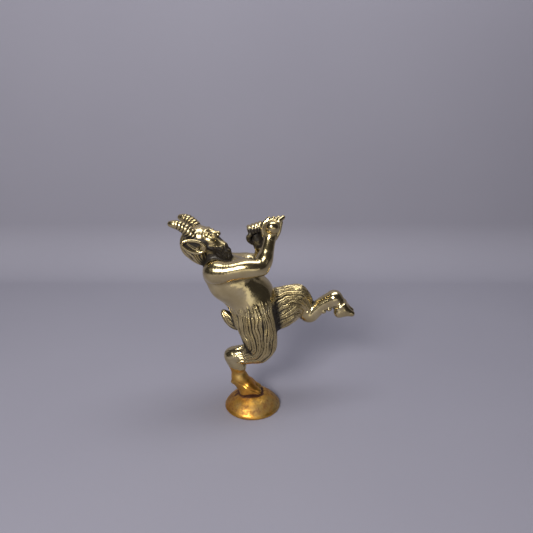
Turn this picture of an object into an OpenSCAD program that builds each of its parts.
// Hood ornament: a dancing satyr balanced on one hoof over a domed foot.
// The figure is made of cast pieces, each one pinned to its neighbour with a brass dowel.
// Z is up, X is the way the figure dances, and the origin is the centre of the foot's underside.

/* [Foot] */
// Diameter of the domed foot
base_d = 32; // [28:0.5:38]
// Height of the flat seat on top of the dome, where the hoof stands
dome_h = 9; // [8:0.1:12]
// Height of the upright rim round the foot
rim_h = 1.4; // [0.6:0.1:2.5]
// Diameter of the flat seat on top of the dome
seat_d = 15; // [14:0.5:17]
// Thread for the radiator cap screw, outside diameter (1/4 inch)
mount_thread_d = 6.35; // [4:0.01:6.5]
// Depth of the threaded hole
mount_thread_depth = 6.5; // [4:0.1:7]

/* [Figure] */
// Height of the figure from its hoof to the top of its horns
figure_h = 107; // [95:0.5:125]
// Height of the head from chin to crown
head_h = 24; // [22:0.1:26]
// Length of an ear
ear_l = 13; // [10:0.5:15]

/* [Pins] */
// Diameter of the pins in the waist, hips, neck and shoulders
large_pin_d = 3; // [2:0.1:4]
// Diameter of the pins in the legs, wrists and tail
limb_pin_d = 2.4; // [1.5:0.1:3]
// Diameter of the pins in the horns, ears and hoof
small_pin_d = 1.2; // [0.8:0.1:1.6]
// Gap between a pin and its hole, all round
pin_gap = 0.03; // [0.01:0.01:0.1]

/* [Hidden] */

// The figure's points below are given for this height and this seat, then scaled to figure_h.
drawn_h = 107;
drawn_seat_z = 9;
figure_scale = figure_h / drawn_h;
reach = 80;            // size of the block that keeps one side of a joint
cone_start = 0.97;     // a cone's near end, beside the ball that it starts in
cone_end = 0.985;      // and its far end, which differs so that two cones never share a rim
brass = "#b59a5a";
gold = "#c98a2b";
pin_brass = "#c8b068";

// Joints: [point on the joint, direction from the first piece to the next].
hock_joint = [[-7.8, 0, 25.8], [0.26, 0, 0.97]];
hock_pin_line = [[-8.2, 0, 26], [-0.22, 0, 0.97]];
knee_joint = [[0.6, -1.8, 36.4], [0.8, 0, 0.6]];
waist_joint = [[1.5, 3.5, 65], [-0.25, 0, 0.97]];
standing_hip_joint = [[2, -3, 56], [0.1, 0.2, 1]];
kicking_hip_joint = [[11, 8, 57], [0.95, 0.25, 0.1]];
shank_joint = [[29.5, 11.6, 59.5], [0.3, 0, -1]];
pastern_joint = [[46.8, 9.6, 63.6], [0.75, 0, -0.65]];
sole_joint = [[52, 9.4, 53], [0.06, 0, 1]];
shoulder_right = [[-18, -6, 85.6], [0, -1, 0]];
shoulder_left = [[-17, 12, 83.6], [0, 1, 0]];
wrist_right = [[9.7, -2.6, 101.4], [0.16, 0.45, 0.88]];
wrist_left = [[4.2, 9.6, 95.4], [-0.3, -0.15, 0.94]];
neck_joint = [[-20.5, 3, 91.5], [-0.3, 0, 0.95]];
tail_joint = [[-7, 3, 51.5], [-0.95, 0, 0.3]];

// Limbs: a ball [x, y, z, radius] at each point along the middle of each one.
lower_leg_line = [[-1.2, 0, 7, 6.6], [-2.8, 0, 12, 5.2], [-7.3, 0, 17.6, 5.6],
    [-8, 0, 22, 4.7], [-8, 0, 30, 5]];
standing_shank_line = [[-8, 0, 22, 4.7], [-10.8, 0, 33, 5.2], [3.6, -2.2, 36.4, 6.4]];
standing_thigh_line = [[4.8, -2.4, 39.4, 7.8], [4, -3, 47, 9.6], [1.6, -2.6, 59, 10.6]];
hips_line = [[3, 4.2, 54.6, 11.2], [0.4, 3.4, 69, 11.8]];
kicking_thigh_line = [[8, 8, 56.4, 12.2], [18, 10.4, 58.8, 11], [25, 11.8, 63.2, 8]];
kicking_knee_line = [[25.6, 11.8, 63.6, 6.6], [30, 11.7, 58, 5.4]];
kicking_shank_line = [[29, 11.7, 62, 5.2], [32.4, 11, 53, 4.7]];
kicking_cannon_line = [[32.4, 11, 53, 4.7], [38, 10.4, 58.2, 4.2], [46.8, 9.6, 63.6, 4.7]];
kicking_hoof_line = [[46.4, 9.6, 64, 4.6], [49.6, 9.5, 59.6, 4.5], [52, 9.4, 54.4, 6.2]];
tail_line = [[-1, 3, 50.5, 3.8], [-8, 3, 51.4, 4.1], [-12.2, 3, 54.2, 3.8], [-15.4, 3, 57.2, 2.5]];
torso_line = [[1, 3.5, 64, 12], [-9.6, 3.1, 77.2, 12.9], [-16, 3, 82.6, 10.8]];
neck_line = [[-17, 3, 84, 6.5], [-21, 3, 93, 5.6]];
arm_right_line = [[-18.8, -8.4, 86.2, 6.8], [-8, -11.4, 89.2, 5.4], [4.6, -10.2, 89.8, 4.8],
    [8.6, -5.6, 97, 3.7], [10, -2, 103.4, 3.1]];
arm_left_line = [[-17.6, 13.4, 84.2, 6.7], [-8, 16.1, 85.1, 5.5], [4.6, 13.9, 85.7, 4.8],
    [5.5, 10.8, 92.2, 3.7], [3.6, 8.9, 98.6, 3]];
hand_right_line = [[9.9, -2, 102.6, 3.3], [11.2, 0.6, 107, 4.7], [13.4, 3.4, 111.4, 3.3]];
hand_left_line = [[3.9, 9.2, 96.6, 3.1], [2, 8.2, 100.8, 4.4], [0.8, 6, 104.6, 3.4]];
horn_line = [[-30, -1.4, 103.6, 2.5], [-32.8, -2.4, 107.6, 2.4], [-36.4, -3.2, 110.8, 2.2],
    [-41.2, -3.8, 111.8, 1.4]];
horn_joint = [[-31.4, -1.9, 105.8], [-0.5, -0.2, 0.85]];

// Pin lengths, and where the pins between hoof and dome stand.
foot_pin_d = 1.8;
foot_pin_l = 7;
foot_pin_x = -5.2;
foot_pin_y = 2.4;
hock_pin_l = 10;
knee_pin_l = 8;
hip_pin_l = 10;
waist_pin_l = 9;
waist_pin_y = 5;
shank_pin_l = 5;
pastern_pin_l = 6;
tail_pin_l = 7;
shoulder_pin_l = 8;
wrist_pin_l = 7;
neck_pin_l = 10;
small_pin_l = 4;

// The head lies back, so its crown points behind the figure and its face looks up.
head_centre = [-25, 3, 99];
head_tilt = 58;
head_turn = 14;        // towards the right shoulder

// A ball of the head, placed and sized in parts of the head's height.
function head_ball(up, out, r) = [
    head_centre[0] + head_h * (out * cos(head_tilt) - up * sin(head_tilt)),
    head_centre[1],
    head_centre[2] + head_h * (out * sin(head_tilt) + up * cos(head_tilt)),
    head_h * r];
skull_line = [head_ball(0.12, -0.04, 0.4), head_ball(-0.3, 0.1, 0.25)];
beard_line = [head_ball(-0.26, 0.02, 0.26), head_ball(-0.58, -0.04, 0.17)];
hair_line = [head_ball(0.18, -0.2, 0.3), head_ball(-0.04, -0.33, 0.21)];

// An ear is a thick leaf that stands off the side of the head.
ear_root = [-22.4, -4.8, 98];
ear_rise = 22;         // from level, towards its tip
ear_flare = 14;        // away from the head
ear_w = 6.4;
ear_t = 2.4;
ear_joint = [[-25, -6, 99], [0, -1, 0]];

function unit(v) = v / norm(v);
function place(q) = [q[0], q[1], q[2]];

// A ball at each point of a line, joined by cones.
module limb(line) {
    for (q = line)
        translate(place(q)) sphere(r = q[3], $fn = 40);
    for (n = [0 : len(line) - 2]) {
        way = place(line[n + 1]) - place(line[n]);
        translate(place(line[n])) facing(way)
            cylinder(r1 = cone_start * line[n][3], r2 = cone_end * line[n + 1][3],
                h = norm(way), $fn = 40);
    }
}

// Turns +Z to point along a direction.
module facing(way) {
    rotate([0, acos(way[2] / norm(way)), atan2(way[1], way[0])]) children();
}

// Everything on the far side of a joint.
module beyond(joint) {
    translate(joint[0]) facing(joint[1])
        translate([-reach / 2, -reach / 2, 0]) cube(reach);
}

// Everything on the near side of a joint.
module before(joint) {
    translate(joint[0]) facing(-joint[1])
        translate([-reach / 2, -reach / 2, 0]) cube(reach);
}

// A pin across a joint; a grow above zero makes the hole for it.
module pin(joint, d, l, grow = 0) {
    translate(joint[0]) facing(joint[1])
        cylinder(d = d + 2 * grow, h = l + 2 * grow, center = true, $fn = 32);
}

// Stands the figure on the dome's seat at its real size.
module figure() {
    translate([0, 0, dome_h]) scale(figure_scale) translate([0, 0, -drawn_seat_z]) children();
}

// ---- The foot ----

module dome_form() {
    seat_r = seat_d / 2;
    base_r = base_d / 2;
    rise = dome_h - rim_h;
    centre_z = (seat_r * seat_r + dome_h * dome_h - base_r * base_r - rim_h * rim_h) / (2 * rise);
    crown_r = norm([base_r, rim_h - centre_z]);
    intersection() {
        translate([0, 0, centre_z]) sphere(r = crown_r, $fn = 96);
        cylinder(d = base_d, h = dome_h, $fn = 96);
    }
}

module foot_pin_bores(grow) {
    for (y = [-foot_pin_y, foot_pin_y])
        figure() pin([[foot_pin_x, y, drawn_seat_z], [0, 0, 1]], foot_pin_d, foot_pin_l, grow);
}

module base_dome() {
    color(gold) difference() {
        dome_form();
        translate([0, 0, -1]) cylinder(d = mount_thread_d, h = mount_thread_depth + 1, $fn = 48);
        foot_pin_bores(pin_gap);
    }
}

module foot_pins() {
    color(pin_brass) foot_pin_bores(0);
}

// ---- The standing leg ----

module lower_leg() {
    color(gold) difference() {
        figure() difference() {
            intersection() {
                limb(lower_leg_line);
                beyond([[0, 0, drawn_seat_z], [0, 0, 1]]);
                before(hock_joint);
            }
            pin(hock_pin_line, limb_pin_d, hock_pin_l, pin_gap);
        }
        foot_pin_bores(pin_gap);
    }
}

module hock_pin() {
    color(pin_brass) figure() pin(hock_pin_line, limb_pin_d, hock_pin_l);
}

module standing_shank_form() {
    intersection() {
        limb(standing_shank_line);
        beyond(hock_joint);
        before(knee_joint);
    }
}

module standing_shank() {
    color(brass) figure() difference() {
        standing_shank_form();
        pin(hock_pin_line, limb_pin_d, hock_pin_l, pin_gap);
        pin(knee_joint, limb_pin_d, knee_pin_l, pin_gap);
    }
}

module knee_pin() {
    color(pin_brass) figure() pin(knee_joint, limb_pin_d, knee_pin_l);
}

module standing_thigh_form() {
    intersection() {
        limb(standing_thigh_line);
        beyond(knee_joint);
        before(standing_hip_joint);
    }
}

module standing_thigh() {
    color(brass) figure() difference() {
        standing_thigh_form();
        pin(knee_joint, limb_pin_d, knee_pin_l, pin_gap);
        pin(standing_hip_joint, large_pin_d, hip_pin_l, pin_gap);
    }
}

// ---- The hips and the tail ----

module hips_form() {
    intersection() {
        limb(hips_line);
        beyond(standing_hip_joint);
        before(waist_joint);
        before(kicking_hip_joint);
    }
}

module hips() {
    color(brass) figure() difference() {
        hips_form();
        pin(standing_hip_joint, large_pin_d, hip_pin_l, pin_gap);
        pin(kicking_hip_joint, large_pin_d, hip_pin_l, pin_gap);
        for (y = [-waist_pin_y, waist_pin_y])
            translate([0, y, 0]) pin(waist_joint, large_pin_d, waist_pin_l, pin_gap);
        pin(tail_joint, limb_pin_d, tail_pin_l, pin_gap);
    }
}

module hip_pins() {
    color(pin_brass) figure() {
        pin(standing_hip_joint, large_pin_d, hip_pin_l);
        pin(kicking_hip_joint, large_pin_d, hip_pin_l);
    }
}

module tail() {
    color(brass) figure() difference() {
        difference() {
            limb(tail_line);
            hips_form();
            standing_thigh_form();
        }
        pin(tail_joint, limb_pin_d, tail_pin_l, pin_gap);
    }
}

module tail_pin() {
    color(pin_brass) figure() pin(tail_joint, limb_pin_d, tail_pin_l);
}

// ---- The raised leg ----

module kicking_thigh_form() {
    intersection() {
        limb(kicking_thigh_line);
        beyond(kicking_hip_joint);
    }
    intersection() {
        limb(kicking_knee_line);
        before(shank_joint);
    }
}

module kicking_thigh() {
    color(brass) figure() difference() {
        difference() {
            kicking_thigh_form();
            standing_thigh_form();
        }
        pin(kicking_hip_joint, large_pin_d, hip_pin_l, pin_gap);
        pin(shank_joint, limb_pin_d, shank_pin_l, pin_gap);
    }
}

module kicking_shank_form() {
    intersection() {
        limb(kicking_shank_line);
        beyond(shank_joint);
    }
    intersection() {
        limb(kicking_cannon_line);
        before(pastern_joint);
    }
}

module kicking_shank() {
    color(brass) figure() difference() {
        difference() {
            kicking_shank_form();
            kicking_thigh_form();
        }
        pin(shank_joint, limb_pin_d, shank_pin_l, pin_gap);
        pin(pastern_joint, small_pin_d, pastern_pin_l, pin_gap);
    }
}

module shank_pin() {
    color(pin_brass) figure() pin(shank_joint, limb_pin_d, shank_pin_l);
}

module kicking_hoof() {
    color(brass) figure() difference() {
        intersection() {
            limb(kicking_hoof_line);
            beyond(pastern_joint);
            beyond(sole_joint);
        }
        pin(pastern_joint, small_pin_d, pastern_pin_l, pin_gap);
    }
}

module pastern_pin() {
    color(pin_brass) figure() pin(pastern_joint, small_pin_d, pastern_pin_l);
}

// ---- The torso ----

module torso_form() {
    intersection() {
        limb(torso_line);
        beyond(waist_joint);
    }
    intersection() {
        limb(neck_line);
        before(neck_joint);
    }
}

module torso() {
    color(brass) figure() difference() {
        torso_form();
        for (y = [-waist_pin_y, waist_pin_y])
            translate([0, y, 0]) pin(waist_joint, large_pin_d, waist_pin_l, pin_gap);
        pin(shoulder_right, large_pin_d, shoulder_pin_l, pin_gap);
        pin(shoulder_left, large_pin_d, shoulder_pin_l, pin_gap);
        pin(neck_joint, large_pin_d, neck_pin_l, pin_gap);
    }
}

module waist_pins() {
    color(pin_brass) figure()
        for (y = [-waist_pin_y, waist_pin_y])
            translate([0, y, 0]) pin(waist_joint, large_pin_d, waist_pin_l);
}

module neck_pin() {
    color(pin_brass) figure() pin(neck_joint, large_pin_d, neck_pin_l);
}

// ---- The arms ----

module arm(line, shoulder, wrist) {
    color(brass) figure() difference() {
        intersection() {
            limb(line);
            before(wrist);
        }
        torso_form();
        pin(shoulder, large_pin_d, shoulder_pin_l, pin_gap);
        pin(wrist, limb_pin_d, wrist_pin_l, pin_gap);
    }
}

module arm_right() {
    arm(arm_right_line, shoulder_right, wrist_right);
}

module arm_left() {
    arm(arm_left_line, shoulder_left, wrist_left);
}

module shoulder_pins() {
    color(pin_brass) figure() {
        pin(shoulder_right, large_pin_d, shoulder_pin_l);
        pin(shoulder_left, large_pin_d, shoulder_pin_l);
    }
}

module hand(line, wrist) {
    color(brass) figure() difference() {
        intersection() {
            limb(line);
            beyond(wrist);
        }
        pin(wrist, limb_pin_d, wrist_pin_l, pin_gap);
    }
}

module hand_right() {
    hand(hand_right_line, wrist_right);
}

module hand_left() {
    hand(hand_left_line, wrist_left);
}

module wrist_pins() {
    color(pin_brass) figure() {
        pin(wrist_right, limb_pin_d, wrist_pin_l);
        pin(wrist_left, limb_pin_d, wrist_pin_l);
    }
}

// ---- The head ----

// Turns the head a little over the right shoulder.
module turned() {
    translate(head_centre) rotate([0, 0, -head_turn]) translate(-head_centre) children();
}

// The same thing on the other side of the head.
module other_side() {
    translate([0, 2 * head_centre[1], 0]) mirror([0, 1, 0]) children();
}

module head_form() {
    turned() {
        limb(skull_line);
        limb(beard_line);
        limb(hair_line);
    }
}

module head() {
    color(brass) figure() difference() {
        difference() {
            head_form();
            torso_form();
        }
        pin(neck_joint, large_pin_d, neck_pin_l, pin_gap);
        head_trim_pins(pin_gap);
    }
}

module horn_pin(grow) {
    pin(horn_joint, small_pin_d, small_pin_l, grow);
}

module ear_pin(grow) {
    pin(ear_joint, small_pin_d, small_pin_l, grow);
}

module head_trim_pins(grow) {
    turned() {
        horn_pin(grow);
        ear_pin(grow);
        other_side() horn_pin(grow);
        other_side() ear_pin(grow);
    }
}

module horn_right() {
    color(brass) figure() difference() {
        difference() {
            turned() limb(horn_line);
            head_form();
        }
        turned() horn_pin(pin_gap);
    }
}

module horn_left() {
    color(brass) figure() difference() {
        difference() {
            turned() other_side() limb(horn_line);
            head_form();
        }
        turned() other_side() horn_pin(pin_gap);
    }
}

module horn_pins() {
    color(pin_brass) figure() turned() {
        horn_pin(0);
        other_side() horn_pin(0);
    }
}

// A pointed oval, its length along X, as thick as an ear.
module ear_leaf() {
    half_l = ear_l / 2;
    half_w = ear_w / 2;
    arc_r = (half_l * half_l + half_w * half_w) / (2 * half_w);
    translate(ear_root) rotate([0, 0, ear_flare]) rotate([90, 0, 0]) rotate(-ear_rise)
        translate([-half_l, 0, -ear_t / 2]) linear_extrude(ear_t) intersection() {
            translate([0, half_w - arc_r]) circle(r = arc_r, $fn = 90);
            translate([0, arc_r - half_w]) circle(r = arc_r, $fn = 90);
        }
}

module ear_right() {
    color(brass) figure() difference() {
        difference() {
            turned() ear_leaf();
            head_form();
        }
        turned() ear_pin(pin_gap);
    }
}

module ear_left() {
    color(brass) figure() difference() {
        difference() {
            turned() other_side() ear_leaf();
            head_form();
        }
        turned() other_side() ear_pin(pin_gap);
    }
}

module ear_pins() {
    color(pin_brass) figure() turned() {
        ear_pin(0);
        other_side() ear_pin(0);
    }
}

base_dome();
lower_leg();
standing_shank();
standing_thigh();
hips();
kicking_thigh();
kicking_shank();
kicking_hoof();
tail();
torso();
arm_right();
arm_left();
hand_right();
hand_left();
head();
horn_right();
horn_left();
ear_right();
ear_left();
foot_pins();
hock_pin();
knee_pin();
hip_pins();
waist_pins();
shank_pin();
pastern_pin();
tail_pin();
shoulder_pins();
wrist_pins();
neck_pin();
horn_pins();
ear_pins();
